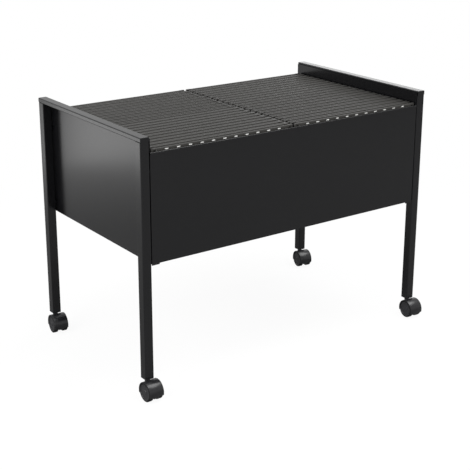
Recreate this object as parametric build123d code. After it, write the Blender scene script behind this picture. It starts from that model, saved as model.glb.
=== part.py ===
"""Hanging file trolley: a steel box without a bottom between two end frames, on four hooded twin casters.

Two rows of hanging files fill the box. Each file is a card pocket on two steel bars whose hooks
ride on the lips of the hanging rails. Millimetres, +Z up, +X to the right along the long side,
-Y towards the front. The origin is on the floor under the middle of the frame.
"""
import os
from math import cos, radians, sin

from build123d import *

# Overall sizes
FRAME_WIDTH = 750.0        # outside to outside of the two end frames, along X
FRAME_DEPTH = 430.0        # outside to outside of the legs, along Y
FRAME_TOP = 550.0          # top of the top rails above the floor
LEG_END = 46.0             # lower end of the leg tubes above the floor

# Square tube of the legs, flat tube of the top rails
TUBE = 20.0
TUBE_WALL = 1.5
TUBE_CORNER = 2.0
RAIL_HEIGHT = 10.0
RAIL_CAP = 1.5             # plate that closes each end of a top rail

# Sheet steel box
SHEET = 1.0
SPACER = 2.0               # washer between a leg and the side panel
BOX_HEIGHT = 228.0         # front and rear panels, bottom edge to hemmed top edge
PANEL_BELOW_TOP = 32.0     # hemmed top edge of the front and rear panels below the top of the frame
HEM_HEIGHT = 4.6           # top edge folded outwards and pressed flat
SIDE_TUCK = 6.0            # height by which the side panel stands up behind the top rail
SIDE_FLANGE = 18.0         # width of the side panel's folded flanges
FLANGE_DROP = 3.0          # the flanges reach this much below the box
FLANGE_CLEAR = 1.0         # flange below the hemmed edge

# Hanging rails, folded from strip
STRIP = 1.5
ROW_GAP = 6.0              # between the bar tips of the two rows
BAR_END_GAP = 4.0          # bar tip to side panel
HOOK_INSET = 7.5           # bar tip to the middle of its notch
LIP_TOP = 520.0
LIP_HEIGHT = 20.0
RAIL_END_GAP = 1.0         # rail ends clear of the side panels' flanges
TAB_HEIGHT = 12.0
GUTTER_LEG = 12.0

# Hanging files
FILE_PITCH = 20.9          # least room along the lips for one file
FRONT_INSET = 12.7         # front of the frame to the middle of the front file
REAR_INSET = 19.0          # rear of the frame to the middle of the last file
GROUP_SPLIT = 10           # files in the group behind the front file
GROUP_SHIFT = {"left": -16.0, "right": 5.0}    # how far that group's last file hangs off an even spacing
BAR_SPREAD = 13.0          # middle to middle of a file's two sleeves
BAR_THICK = 2.4
BAR_HEIGHT = 8.0
BAR_OVER_LIP = 3.2         # steel left above the lip
HOOK_CLEAR = 0.1           # lip top to hook, so that a file lifts off freely
NOTCH_WIDTH = 3.0
PRONG_WIDTH = 3.0
PRONG_DROP = 12.0          # prong tip below the lip's top
CARD = 0.6
SLEEVE_GAP = 3.0           # clear width inside a sleeve
BAR_PLAY = 0.05            # bar to sleeve
SLEEVE_LIFT = 0.2          # sleeve above the bar
POCKET_INSET = 5.0         # middle of the notch to the edge of the pocket
POCKET_HEIGHT = 230.0
POCKET_BASE = 6.4          # outside width of the pocket's folded base
SLOT_COUNT = 11
SLOT_MARGIN = 22.5         # edge of the pocket to the middle of its outermost slot
SLOT_WIDTH = 8.0
SLOT_HEIGHT = 2.4
SLOT_DOWN = 3.0            # slot below the top of the sleeve
STRIP_CARD = 0.4           # index strip behind the slots
STRIP_HEIGHT = 7.0
PAPER_MARGIN = 11.5        # edge of the pocket to the paper
PAPER_HEIGHT = 210.0
PAPER_THICK = 3.2

# Screws that hold the box in the frames
SCREW_RADIUS = 2.5
SCREW_CLEAR = 0.2
SCREW_GRIP = 6.0           # length inside the leg
HEAD_RADIUS = 4.5
HEAD_HEIGHT = 2.6
WASHER_RADIUS = 6.0
SCREW_EDGE = 20.0          # screw below or above the box's edges

# Casters
WHEEL_RADIUS = 20.0
WHEEL_WIDTH = 10.2
WHEEL_ROUND = 1.5
WHEEL_DISH = 1.2           # recess in the wheel's outer face
DISH_INNER = 5.0
DISH_OUTER = 16.0
CASTER_WIDTH = 33.0
WHEEL_SIDE_GAP = 0.4
TRAIL = 14.6               # stem to wheel centre
HOOD_GAP = 0.6             # wheel to hood
HOOD_WALL = 1.6
HOOD_FRONT_DOWN = 16.0     # degrees below the axle that the hood reaches on the wheel side
HOOD_REAR_DOWN = 20.0      # degrees below the axle that it reaches on the stem side
WEB_FLOOR = 10.0           # hood above the floor
COLLAR_RADIUS = 5.6
COLLAR_TOP = 40.0
AXLE_RADIUS = 2.0
AXLE_COVER = 1.6           # closed outer face of the wheel over the axle's end
STEM_RADIUS = 4.0
STEM_FOOT = 21.0
STEM_PLAY = 0.3            # stem's foot above the end of its bore
STEM_RING = 5.0
RUNNING = 0.05             # radial clearance of what turns
SNUG = 0.01                # radial clearance of what is driven in
RING_GAP = 0.8             # ring above the collar
PLUG_FLANGE = 2.5
PLUG_DEPTH = 24.0
PLUG_PLAY = 0.1
PLUG_ROOF = 3.0

# Rest direction of each caster, degrees from straight towards the front
SWIVEL_REST = {"front_left": 1.0, "rear_left": -5.0, "front_right": -4.0, "rear_right": -10.0}

# Places worked out from the sizes
LEG_X = FRAME_WIDTH / 2 - TUBE / 2
LEG_Y = FRAME_DEPTH / 2 - TUBE / 2
LEG_TOP = FRAME_TOP - RAIL_HEIGHT
SIDE_OUTER = FRAME_WIDTH / 2 - TUBE - SPACER
SIDE_INNER = SIDE_OUTER - SHEET
END_OUTER = FRAME_DEPTH / 2
END_FACE = END_OUTER - SHEET
END_INNER = END_FACE - SHEET
PANEL_TOP = FRAME_TOP - PANEL_BELOW_TOP
BOX_BOTTOM = PANEL_TOP - BOX_HEIGHT
BAR_LENGTH = SIDE_INNER - BAR_END_GAP - ROW_GAP / 2
HOOK_PITCH = BAR_LENGTH - 2 * HOOK_INSET       # 330, the standard for A4 hanging files
POCKET_WIDTH = HOOK_PITCH - 2 * POCKET_INSET
SLOT_PITCH = (POCKET_WIDTH - 2 * SLOT_MARGIN) / (SLOT_COUNT - 1)
PAPER_WIDTH = POCKET_WIDTH - 2 * PAPER_MARGIN  # 297, the long side of A4
ROW_X = (BAR_LENGTH + ROW_GAP) / 2
FILE_COUNT = int((FRAME_DEPTH - FRONT_INSET - REAR_INSET) / FILE_PITCH) + 1    # files in a row
LIP_INNER = ROW_X - HOOK_PITCH / 2
LIP_OUTER = ROW_X + HOOK_PITCH / 2
WEB_Z = LIP_TOP - LIP_HEIGHT
RAIL_HALF = END_INNER - SHEET - RAIL_END_GAP
BAR_TOP = LIP_TOP + HOOK_CLEAR + BAR_OVER_LIP
SLEEVE_TOP = BAR_TOP + SLEEVE_LIFT + CARD
SLEEVE_BOTTOM = BAR_TOP - BAR_HEIGHT - CARD
SLEEVE_HALF = SLEEVE_GAP / 2 + CARD
BAR_Y = BAR_SPREAD / 2 - SLEEVE_GAP / 2 + BAR_PLAY + BAR_THICK / 2
POCKET_BOTTOM = SLEEVE_TOP - POCKET_HEIGHT
HOOD_INNER = WHEEL_RADIUS + HOOD_GAP
HOOD_OUTER = HOOD_INNER + HOOD_WALL
WHEEL_OUT = CASTER_WIDTH / 2
WHEEL_IN = WHEEL_OUT - WHEEL_WIDTH
WEB_HALF = WHEEL_IN - WHEEL_SIDE_GAP
AXLE_HALF = WHEEL_OUT - WHEEL_DISH - AXLE_COVER
SCREW_LEVELS = (BOX_BOTTOM + SCREW_EDGE, WEB_Z - SCREW_EDGE)

SIDES = {"left": -1, "right": 1}
ENDS = {"front": -1, "rear": 1}


def block(x0, x1, y0, y1, z0, z1):
    """Box between two corners."""
    box = Box(abs(x1 - x0), abs(y1 - y0), abs(z1 - z0))
    return Pos((x0 + x1) / 2, (y0 + y1) / 2, (z0 + z1) / 2) * box


def upright(radius, z0, z1, x=0.0, y=0.0):
    """Round bar standing along Z."""
    return Pos(x, y, (z0 + z1) / 2) * Cylinder(radius, z1 - z0)


def crosswise(radius, x0, x1, y, z):
    """Round bar lying along X."""
    return Pos((x0 + x1) / 2, y, z) * Rot(0, 90, 0) * Cylinder(radius, abs(x1 - x0))


def group(solids):
    """Several separate solids as one node."""
    return Compound(children=list(solids))


# Frame

def screw_places(side):
    """Middle of each screw of one side, as Y and Z."""
    return [(end * LEG_Y, level) for end in ENDS.values() for level in SCREW_LEVELS]


def leg(side, end):
    """Square tube from the caster plug up to the top rail, tapped for the box's screws."""
    outer = RectangleRounded(TUBE, TUBE, TUBE_CORNER)
    inner = RectangleRounded(TUBE - 2 * TUBE_WALL, TUBE - 2 * TUBE_WALL, TUBE_CORNER - TUBE_WALL)
    tube = extrude(Plane.XY.offset(LEG_END) * (outer - inner), LEG_TOP - LEG_END)
    tube = Pos(side * LEG_X, end * LEG_Y, 0) * tube
    inside = side * (LEG_X - TUBE / 2)
    for level in SCREW_LEVELS:
        tube -= crosswise(SCREW_RADIUS + SNUG, inside - side, inside + side * TUBE / 2, end * LEG_Y, level)
    return tube


def top_rail(side):
    """Flat tube along the top of an end frame, closed at both ends."""
    outer = RectangleRounded(TUBE, RAIL_HEIGHT, TUBE_CORNER)
    inner = RectangleRounded(TUBE - 2 * TUBE_WALL, RAIL_HEIGHT - 2 * TUBE_WALL, TUBE_CORNER - TUBE_WALL)
    middle = FRAME_TOP - RAIL_HEIGHT / 2
    front = Plane((side * LEG_X, -FRAME_DEPTH / 2, middle), x_dir=(1, 0, 0), z_dir=(0, 1, 0))
    bore = Plane((side * LEG_X, -FRAME_DEPTH / 2 + RAIL_CAP, middle), x_dir=(1, 0, 0), z_dir=(0, 1, 0))
    rail = extrude(front * outer, FRAME_DEPTH)
    rail -= extrude(bore * inner, FRAME_DEPTH - 2 * RAIL_CAP)
    return rail


# Box

def end_panel(end):
    """Front or rear panel: a flat sheet whose top edge is folded outwards and pressed flat."""
    panel = block(-SIDE_OUTER, SIDE_OUTER, END_INNER, END_FACE, BOX_BOTTOM, PANEL_TOP)
    panel += block(-SIDE_OUTER, SIDE_OUTER, END_FACE, END_OUTER, PANEL_TOP - HEM_HEIGHT, PANEL_TOP)
    ridges = panel.edges().filter_by(Axis.X).group_by(Axis.Z)[-1]
    panel = fillet(ridges, SHEET * 0.9)
    return panel if end > 0 else Rot(0, 0, 180) * panel


def side_panel(side):
    """Side panel with a flange folded inwards behind the front and the rear panel."""
    top = LEG_TOP + SIDE_TUCK
    flange_top = PANEL_TOP - FLANGE_CLEAR
    x_out = side * SIDE_OUTER
    x_in = side * SIDE_INNER
    panel = block(x_in, x_out, -END_INNER, END_INNER, BOX_BOTTOM, top)
    for end in ENDS.values():
        y_out = end * END_INNER
        y_in = end * (END_INNER - SHEET)
        x_edge = side * (SIDE_OUTER - SIDE_FLANGE)
        panel += block(x_out, x_edge, y_in, y_out, BOX_BOTTOM - FLANGE_DROP, flange_top)
    for y, z in screw_places(side):
        panel -= crosswise(SCREW_RADIUS + SCREW_CLEAR, x_in - side, x_out + side, y, z)
    return panel


def side_hanging_rail(side):
    """Gutter on the side panel: the lip carries the outer hooks, the leg lies against the panel."""
    lip_in = side * (LIP_OUTER - STRIP / 2)
    lip_out = side * (LIP_OUTER + STRIP / 2)
    wall = side * SIDE_INNER
    rail = block(lip_in, lip_out, -RAIL_HALF, RAIL_HALF, WEB_Z, LIP_TOP)
    rail += block(lip_in, wall, -RAIL_HALF, RAIL_HALF, WEB_Z - STRIP, WEB_Z)
    rail += block(wall - side * STRIP, wall, -RAIL_HALF, RAIL_HALF, WEB_Z - STRIP, WEB_Z + GUTTER_LEG)
    return rail


def centre_hanging_rail():
    """Channel across the middle: two lips for the inner hooks, and a tab down each end panel."""
    half = LIP_INNER + STRIP / 2
    rail = block(-half, half, -END_INNER, END_INNER, WEB_Z - STRIP, WEB_Z)
    for side in SIDES.values():
        lip_in = side * (LIP_INNER - STRIP / 2)
        rail += block(lip_in, side * half, -RAIL_HALF, RAIL_HALF, WEB_Z - STRIP, LIP_TOP)
    for end in ENDS.values():
        y_out = end * END_INNER
        rail += block(-half, half, y_out - end * STRIP, y_out, WEB_Z - STRIP - TAB_HEIGHT, WEB_Z)
    return rail


def box_screws():
    """Pan head screws from inside the box, through the washers, into the legs."""
    screws = []
    for side in SIDES.values():
        for y, z in screw_places(side):
            face = side * SIDE_INNER
            shank = crosswise(SCREW_RADIUS, face, side * (LEG_X - TUBE / 2 + SCREW_GRIP), y, z)
            head = crosswise(HEAD_RADIUS, face - side * HEAD_HEIGHT, face, y, z)
            rim = head.edges().filter_by(GeomType.CIRCLE).sort_by(Axis.X)
            rim = rim[0] if side > 0 else rim[-1]
            screws.append(fillet(rim, HEAD_HEIGHT / 2) + shank)
    return group(screws)


def box_washers():
    """Spacer washers between the legs and the side panels."""
    washers = []
    for side in SIDES.values():
        for y, z in screw_places(side):
            x_in = side * SIDE_OUTER
            x_out = side * (SIDE_OUTER + SPACER)
            ring = crosswise(WASHER_RADIUS, x_in, x_out, y, z)
            washers.append(ring - crosswise(SCREW_RADIUS + SCREW_CLEAR, x_in - side, x_out + side, y, z))
    return group(washers)


# Hanging files, modelled at the middle of a row and copied to their places

def bar(face):
    """Bar of a file with a hook end as thick as the sleeve; face is -1 for the front bar, 1 for the rear one."""
    low = BAR_TOP - BAR_HEIGHT
    tip = LIP_TOP - PRONG_DROP
    notch_top = LIP_TOP + HOOK_CLEAR
    half = BAR_LENGTH / 2
    y_bar = face * BAR_Y
    y_end = face * BAR_SPREAD / 2
    steel = block(-half, half, y_bar - BAR_THICK / 2, y_bar + BAR_THICK / 2, low, BAR_TOP)
    for way in (-1, 1):
        hook = way * HOOK_PITCH / 2
        inner_notch = hook - way * NOTCH_WIDTH / 2
        outer_notch = hook + way * NOTCH_WIDTH / 2
        start = inner_notch - way * PRONG_WIDTH
        steel += block(start, way * half, y_end - SLEEVE_HALF, y_end + SLEEVE_HALF, tip, SLEEVE_TOP)
        steel -= block(inner_notch, outer_notch, y_end - SLEEVE_HALF - 1, y_end + SLEEVE_HALF + 1,
                       tip - 1, notch_top)
    return steel


def sleeve_section(face):
    """Folded card sleeve around a bar, with the leaf that hangs from it, as a sketch in Y and Z."""
    middle = face * BAR_SPREAD / 2
    base_out = POCKET_BASE / 2
    outer = middle + face * SLEEVE_HALF
    leaf = [
        (outer, SLEEVE_BOTTOM + CARD),
        (face * base_out, POCKET_BOTTOM),
        (face * (base_out - CARD), POCKET_BOTTOM),
        (outer - face * CARD, SLEEVE_BOTTOM + CARD),
    ]
    return middle, leaf


def pocket():
    """Card pocket of one file: a sleeve over each bar, two leaves and a folded base."""
    half = POCKET_WIDTH / 2
    card = block(-half, half, -POCKET_BASE / 2 + CARD / 2, POCKET_BASE / 2 - CARD / 2,
                 POCKET_BOTTOM, POCKET_BOTTOM + CARD)
    for face in (-1, 1):
        middle, leaf = sleeve_section(face)
        sleeve = block(-half, half, middle - SLEEVE_HALF, middle + SLEEVE_HALF, SLEEVE_BOTTOM, SLEEVE_TOP)
        ridges = sleeve.edges().filter_by(Axis.X).group_by(Axis.Z)[-1]
        sleeve = fillet(ridges, CARD)
        hollow = SLEEVE_GAP / 2
        sleeve -= block(-half - 1, half + 1, middle - hollow, middle + hollow,
                        SLEEVE_BOTTOM + CARD, SLEEVE_TOP - CARD)
        side_view = Plane((-half, 0, 0), x_dir=(0, 1, 0), z_dir=(1, 0, 0))
        leaf_end = make_face(side_view * Polyline(*leaf, close=True))
        card += sleeve + extrude(leaf_end, POCKET_WIDTH, dir=(1, 0, 0))
    return card


def slotted(card):
    """The same pocket with the row of slots that only the front file of a row has."""
    wall = -BAR_SPREAD / 2 - SLEEVE_GAP / 2
    top = SLEEVE_TOP - SLOT_DOWN
    for index in range(SLOT_COUNT):
        x = (index - (SLOT_COUNT - 1) / 2) * SLOT_PITCH
        card -= block(x - SLOT_WIDTH / 2, x + SLOT_WIDTH / 2, wall - 2 * CARD, wall + BAR_PLAY,
                      top - SLOT_HEIGHT, top)
    return card


def index_strip():
    """White card strip that shows through the slots of the front sleeve."""
    back = -BAR_SPREAD / 2 - SLEEVE_GAP / 2 + BAR_PLAY
    top = BAR_TOP
    half = POCKET_WIDTH / 2
    return block(-half, half, back, back + STRIP_CARD, top - STRIP_HEIGHT, top)


def papers():
    """Sheaf of A4 sheets standing on the base of a pocket."""
    low = POCKET_BOTTOM + CARD
    half = PAPER_WIDTH / 2
    return block(-half, half, -PAPER_THICK / 2, PAPER_THICK / 2, low, low + PAPER_HEIGHT)


def file_y(row, index):
    """Middle of a file, counted from the front; the files were pushed together unevenly."""
    first = FRONT_INSET - FRAME_DEPTH / 2
    last = FRAME_DEPTH / 2 - REAR_INSET
    after = FILE_COUNT - 1 - GROUP_SPLIT
    even = first + (last - first) * index / (FILE_COUNT - 1)
    if index <= GROUP_SPLIT:
        return even + GROUP_SHIFT[row] * index / GROUP_SPLIT
    return even + GROUP_SHIFT[row] * (FILE_COUNT - 1 - index) / after


# Casters, modelled with the stem on the Z axis and the wheels towards the front

def caster_stem():
    """Steel stem with a ring that carries the load, from the hood up into the leg plug."""
    top = LEG_END + PLUG_DEPTH - PLUG_ROOF
    stem = upright(STEM_RADIUS, STEM_FOOT, top)
    ring_low = COLLAR_TOP + RING_GAP
    return stem + upright(STEM_RING, ring_low, LEG_END - PLUG_FLANGE)


def leg_plug():
    """Plastic plug in the leg's end, with a flange under the tube and a bore for the stem."""
    across = TUBE - 2 * TUBE_WALL - 2 * PLUG_PLAY
    plug = extrude(Plane.XY.offset(LEG_END) * RectangleRounded(across, across, TUBE_WALL), PLUG_DEPTH)
    flange = extrude(Plane.XY.offset(LEG_END - PLUG_FLANGE) * RectangleRounded(TUBE, TUBE, TUBE_CORNER),
                     PLUG_FLANGE)
    bore_top = LEG_END + PLUG_DEPTH - PLUG_ROOF
    return plug + flange - upright(STEM_RADIUS + SNUG, LEG_END - PLUG_FLANGE - 1, bore_top)


def caster_hood():
    """Hood over both wheels, with the web between them that holds the axle and the stem."""
    reach = 2 * HOOD_OUTER
    axle_end = Plane((-WHEEL_OUT, -TRAIL, WHEEL_RADIUS), x_dir=(0, 1, 0), z_dir=(1, 0, 0))
    shell = crosswise(HOOD_OUTER, -WHEEL_OUT, WHEEL_OUT, -TRAIL, WHEEL_RADIUS)
    rims = shell.edges().filter_by(GeomType.CIRCLE)
    shell = fillet(rims, HOOD_WALL * 0.7)
    shell -= crosswise(HOOD_INNER, -WHEEL_OUT - 1, WHEEL_OUT + 1, -TRAIL, WHEEL_RADIUS)
    front = radians(HOOD_FRONT_DOWN)
    rear = radians(HOOD_REAR_DOWN)
    mouth = [
        (0, 0),
        (-reach * cos(front), -reach * sin(front)),
        (-reach, -reach),
        (reach, -reach),
        (reach * cos(rear), -reach * sin(rear)),
    ]
    shell -= extrude(make_face(axle_end * Polyline(*mouth, close=True)), CASTER_WIDTH, dir=(1, 0, 0))
    web = crosswise(HOOD_OUTER - HOOD_WALL / 2, -WEB_HALF, WEB_HALF, -TRAIL, WHEEL_RADIUS)
    web -= block(-reach, reach, -reach - TRAIL, reach, -reach, WEB_FLOOR)
    hood = shell + web + upright(COLLAR_RADIUS, STEM_FOOT, COLLAR_TOP)
    hood -= block(-WHEEL_OUT, -WEB_HALF, -TRAIL - HOOD_INNER, HOOD_OUTER, 0, WHEEL_RADIUS)
    hood -= block(WEB_HALF, WHEEL_OUT, 0, HOOD_INNER - TRAIL, 0, WHEEL_RADIUS)
    hood -= upright(STEM_RADIUS + RUNNING, STEM_FOOT - STEM_PLAY, COLLAR_TOP + 1)
    hood -= crosswise(AXLE_RADIUS + SNUG, -WEB_HALF - 1, WEB_HALF + 1, -TRAIL, WHEEL_RADIUS)
    return hood


def caster_axle():
    """Axle pin through the web, with a wheel on each end."""
    return crosswise(AXLE_RADIUS, -AXLE_HALF, AXLE_HALF, -TRAIL, WHEEL_RADIUS)


def caster_wheel(way):
    """Wheel with a dished outer face and a blind bore for the axle; way is -1 left, 1 right."""
    wheel = crosswise(WHEEL_RADIUS, way * WHEEL_IN, way * WHEEL_OUT, -TRAIL, WHEEL_RADIUS)
    wheel = fillet(wheel.edges().filter_by(GeomType.CIRCLE), WHEEL_ROUND)
    floor = way * (WHEEL_OUT - WHEEL_DISH)
    dish = crosswise(DISH_OUTER, floor, way * (WHEEL_OUT + 1), -TRAIL, WHEEL_RADIUS)
    dish -= crosswise(DISH_INNER, floor - way, way * (WHEEL_OUT + 2), -TRAIL, WHEEL_RADIUS)
    wheel -= dish
    bore_end = way * (AXLE_HALF + RUNNING)
    return wheel - crosswise(AXLE_RADIUS + RUNNING, way * (WHEEL_IN - 1), bore_end, -TRAIL, WHEEL_RADIUS)


# All nodes by name

def build():
    """Every piece of the trolley in its place."""
    parts = {}
    for side_name, side in SIDES.items():
        parts[f"{side_name}_top_rail"] = top_rail(side)
        parts[f"{side_name}_side_panel"] = side_panel(side)
        parts[f"{side_name}_hanging_rail"] = side_hanging_rail(side)
        for end_name, end in ENDS.items():
            parts[f"{end_name}_{side_name}_leg"] = leg(side, end)
    for end_name, end in ENDS.items():
        parts[f"{end_name}_panel"] = end_panel(end)
    parts["centre_hanging_rail"] = centre_hanging_rail()
    parts["box_screws"] = box_screws()
    parts["box_washers"] = box_washers()

    one_pocket = pocket()
    one_sheaf = papers()
    one_bar_pair = [bar(-1), bar(1)]
    for side_name, side in SIDES.items():
        at_front = Pos(side * ROW_X, file_y(side_name, 0), 0)
        parts[f"{side_name}_front_pocket"] = at_front * slotted(one_pocket)
        parts[f"{side_name}_front_bars"] = group(at_front * steel for steel in one_bar_pair)
        parts[f"{side_name}_index_strip"] = at_front * index_strip()
        spans = {"middle": range(1, 1 + GROUP_SPLIT), "rear": range(1 + GROUP_SPLIT, FILE_COUNT)}
        for span_name, span in spans.items():
            places = [Pos(side * ROW_X, file_y(side_name, index), 0) for index in span]
            parts[f"{side_name}_{span_name}_pockets"] = group(at * one_pocket for at in places)
            parts[f"{side_name}_{span_name}_bars"] = group(at * steel for at in places for steel in one_bar_pair)
            parts[f"{side_name}_{span_name}_papers"] = group(at * one_sheaf for at in places)

    for end_name, end in ENDS.items():
        for side_name, side in SIDES.items():
            corner = f"{end_name}_{side_name}"
            under_leg = Pos(side * LEG_X, end * LEG_Y, 0)
            turned = under_leg * Rot(0, 0, SWIVEL_REST[corner])
            parts[f"{corner}_leg_plug"] = under_leg * leg_plug()
            parts[f"{corner}_caster_stem"] = under_leg * caster_stem()
            parts[f"{corner}_caster_hood"] = turned * caster_hood()
            parts[f"{corner}_caster_axle"] = turned * caster_axle()
            parts[f"{corner}_outer_wheel"] = turned * caster_wheel(side)
            parts[f"{corner}_inner_wheel"] = turned * caster_wheel(-side)
    return parts


os.makedirs("parts", exist_ok=True)
for node, shape in build().items():
    export_step(shape, f"parts/{node}.step")
print("swivel axes at", LEG_X, LEG_Y)
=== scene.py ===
# %% [markdown]
# # A hanging file trolley
# The trolley is a low steel box on two leg frames, with two rows of hanging files and four twin
# casters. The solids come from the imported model, already in place. Flat steel parts keep their
# solids and get a paint here. Casters, files and screws are modelled again, because their shapes
# need more detail than a solid gives. X runs to the right along the long side, -Y to the front
# and Z up from the floor.

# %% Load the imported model
import math
import random

import bmesh
import bpy
from mathutils import Matrix, Vector


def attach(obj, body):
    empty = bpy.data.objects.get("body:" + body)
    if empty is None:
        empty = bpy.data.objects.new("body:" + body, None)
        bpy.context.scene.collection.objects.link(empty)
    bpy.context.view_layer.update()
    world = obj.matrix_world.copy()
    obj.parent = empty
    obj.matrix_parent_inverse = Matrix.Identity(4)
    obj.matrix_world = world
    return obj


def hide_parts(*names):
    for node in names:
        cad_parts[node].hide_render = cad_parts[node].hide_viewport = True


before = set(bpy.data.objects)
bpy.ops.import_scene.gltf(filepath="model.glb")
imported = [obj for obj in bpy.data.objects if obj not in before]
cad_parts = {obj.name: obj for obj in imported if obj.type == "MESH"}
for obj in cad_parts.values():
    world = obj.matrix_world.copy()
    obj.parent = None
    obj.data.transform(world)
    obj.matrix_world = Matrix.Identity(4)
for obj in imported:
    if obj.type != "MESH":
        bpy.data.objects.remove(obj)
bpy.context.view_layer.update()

# %% [markdown]
# ## Sizes
# These are the real sizes of the pieces that are modelled here, and where they go. One value
# gives one size, so that a change is made in one place. Sizes are written in millimetres, as on a
# drawing, and MM turns them into Blender's metres.

# %% Sizes of the trolley
MM = 0.001
LEG_X = 365.0 * MM           # middle of a leg and its stem, from the trolley's middle
LEG_Y = 205.0 * MM
ROW_X = 175.5 * MM           # middle of a row of files
FILE_COUNT = 20              # files in a row
FIRST_FILE = -202.3 * MM     # middle of the front file, and of the last one
LAST_FILE = 196.0 * MM
GROUP_SPLIT = 10             # the last file of the middle group, which starts behind the front one
GROUP_SHIFT = {"left": -16.0 * MM, "right": 5.0 * MM}    # how far that one is off an even row
GROUPS = {"middle": range(1, GROUP_SPLIT + 1), "rear": range(GROUP_SPLIT + 1, FILE_COUNT)}
SIDES = {"left": -1, "right": 1}
ENDS = {"front": -1, "rear": 1}
SWIVEL_REST = {"front_left": 1.0, "rear_left": -5.0, "front_right": -4.0, "rear_right": -10.0}


def file_y(row, index):
    """Middle of a file, counted from the front; the files were pushed together unevenly."""
    even = FIRST_FILE + (LAST_FILE - FIRST_FILE) * index / (FILE_COUNT - 1)
    if index <= GROUP_SPLIT:
        return even + GROUP_SHIFT[row] * index / GROUP_SPLIT
    return even + GROUP_SHIFT[row] * (FILE_COUNT - 1 - index) / (FILE_COUNT - 1 - GROUP_SPLIT)


for row in SIDES:
    print(row, "files at", [round(file_y(row, index) / MM) for index in range(FILE_COUNT)])

# %% [markdown]
# ## Colours and nodes
# Colours are written as the hex values that a screen shows. Shaders work with linear light, so
# one function turns them. Another adds one node with its settings and links, which keeps a
# material readable as a short list.

# %% Helpers for materials
MIX_A, MIX_B, MIX_OUT = 6, 7, 2    # a Mix node's sockets for colour, which share their names


def linear(hex_colour):
    """Linear colour of a hex value such as 8A8B8C."""
    channels = [int(hex_colour[i:i + 2], 16) / 255 for i in (0, 2, 4)]
    light = [c / 12.92 if c <= 0.04045 else ((c + 0.055) / 1.055) ** 2.4 for c in channels]
    return (*light, 1.0)


def add(tree, kind, inputs=None, **settings):
    """Adds one node. Each input is a value or another node's output, by socket name or number."""
    node = tree.nodes.new(kind)
    for key, value in settings.items():
        setattr(node, key, value)
    for key, value in (inputs or {}).items():
        if isinstance(value, bpy.types.NodeSocket):
            tree.links.new(value, node.inputs[key])
        else:
            node.inputs[key].default_value = value
    return node


def new_material(name):
    """An empty material with a Principled shader; returns material, tree and shader."""
    material = bpy.data.materials.new(name)
    material.use_nodes = True
    tree = material.node_tree
    tree.nodes.clear()
    shader = add(tree, "ShaderNodeBsdfPrincipled")
    add(tree, "ShaderNodeOutputMaterial", {"Surface": shader.outputs["BSDF"]})
    return material, tree, shader


def per_metre(size_mm):
    """Scale of a noise texture whose grain has this size."""
    return 1.0 / (size_mm * MM)


print("8A8B8C in linear light", [round(channel, 3) for channel in linear("8A8B8C")])

# %% [markdown]
# ## Powder coat
# The frame and the box are steel with a baked black powder coat. The powder melts into a film
# with a faint orange peel, ripples of a few millimetres, and a soft sheen. The ripples go into
# bump and the sheen into roughness; slow changes of tone keep a large panel from looking dead.
# The hanging rails and the bars of the files have the same kind of coat, but duller.

# %% Powder coat
CLOUD_MM = 160               # slow changes of tone
PEEL_MM = 2.4                # one ripple of the orange peel
PEEL_DEPTH_MM = 0.05
COAT_SPREAD = 0.04           # change of roughness over the ripples, either way


def powder_coat(name, tone, dark_tone, roughness, specular):
    """Semi-gloss coat: slow tone changes, and an orange peel in bump and roughness."""
    material, tree, shader = new_material(name)
    place = add(tree, "ShaderNodeTexCoord").outputs["Object"]
    slow = add(tree, "ShaderNodeTexNoise",
               {"Vector": place, "Scale": per_metre(CLOUD_MM), "Detail": 3.0})
    tones = add(tree, "ShaderNodeMix",
                {"Factor": slow.outputs["Fac"], MIX_A: linear(dark_tone), MIX_B: linear(tone)},
                data_type="RGBA")
    tree.links.new(tones.outputs[MIX_OUT], shader.inputs["Base Color"])
    peel = add(tree, "ShaderNodeTexNoise",
               {"Vector": place, "Scale": per_metre(PEEL_MM), "Detail": 2.0})
    fine = add(tree, "ShaderNodeMapRange",
               {"Value": peel.outputs["Fac"], "From Min": 0.3, "From Max": 0.7,
                "To Min": roughness - COAT_SPREAD, "To Max": roughness + COAT_SPREAD})
    tree.links.new(fine.outputs["Result"], shader.inputs["Roughness"])
    bump = add(tree, "ShaderNodeBump",
               {"Height": peel.outputs["Fac"], "Strength": 0.10, "Distance": PEEL_DEPTH_MM * MM})
    tree.links.new(bump.outputs["Normal"], shader.inputs["Normal"])
    shader.inputs["Specular IOR Level"].default_value = specular
    return material


coat = powder_coat("powder_coated_steel_black", "0B0B0D", "08080A",
                   roughness=0.22, specular=0.5)
rail_coat = powder_coat("painted_strip_steel_black", "0D0D0E", "0A0A0B",
                        roughness=0.40, specular=0.4)
bar_paint = powder_coat("painted_bar_steel_black", "0E0E0F", "0B0B0C",
                        roughness=0.34, specular=0.4)
print("coats", coat.name, rail_coat.name, bar_paint.name)

# %% [markdown]
# ## Zinc plated steel
# Stems, axles and screws are mild steel with a thin zinc layer. It is a metal, so its colour is
# in the reflection. Crystals a few millimetres wide give it a soft cloud.

# %% Zinc plated steel
CRYSTAL_MM = 4

zinc, tree, shader = new_material("zinc_plated_steel")
place = add(tree, "ShaderNodeTexCoord").outputs["Object"]
cloud = add(tree, "ShaderNodeTexNoise",
            {"Vector": place, "Scale": per_metre(CRYSTAL_MM), "Detail": 4.0})
tones = add(tree, "ShaderNodeMix",
            {"Factor": cloud.outputs["Fac"], MIX_A: linear("8F9192"), MIX_B: linear("B4B5B3")},
            data_type="RGBA")
tree.links.new(tones.outputs[MIX_OUT], shader.inputs["Base Color"])
rough = add(tree, "ShaderNodeMapRange",
            {"Value": cloud.outputs["Fac"], "To Min": 0.28, "To Max": 0.5})
tree.links.new(rough.outputs["Result"], shader.inputs["Roughness"])
shader.inputs["Metallic"].default_value = 1.0
print("metal", zinc.name)

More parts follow.
